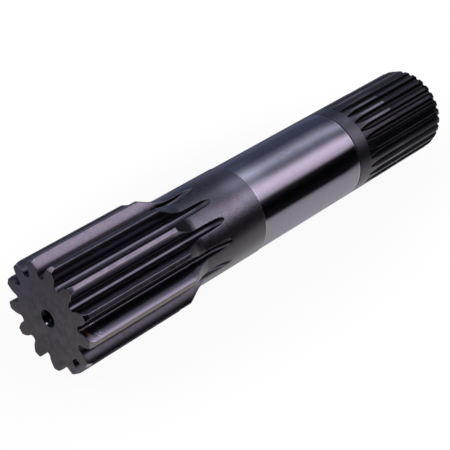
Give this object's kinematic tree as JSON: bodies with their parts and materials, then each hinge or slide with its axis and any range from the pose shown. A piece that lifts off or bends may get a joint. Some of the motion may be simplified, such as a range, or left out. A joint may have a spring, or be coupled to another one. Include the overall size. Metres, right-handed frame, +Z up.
{
  "type": "sun gear shaft",
  "caption": "One-piece steel sun gear shaft: a hobbed spur pinion, a plain shaft, a ground bearing journal and an involute-splined end, lying on its side.",
  "frame": {"origin": "on the shaft's axis, in the plane of the pinion's end face", "axes": "+X along the shaft's axis from the pinion to the splined end, +Z up, with one tooth gap of the pinion straight down"},
  "size_m": [0.2819, 0.0618, 0.0614],
  "materials": {
    "steel": "hardened steel with a dark satin skin, ground bright on the journal"
  },
  "bodies": {
    "root": {"sun_gear": "steel"}
  },
  "joints": []
}
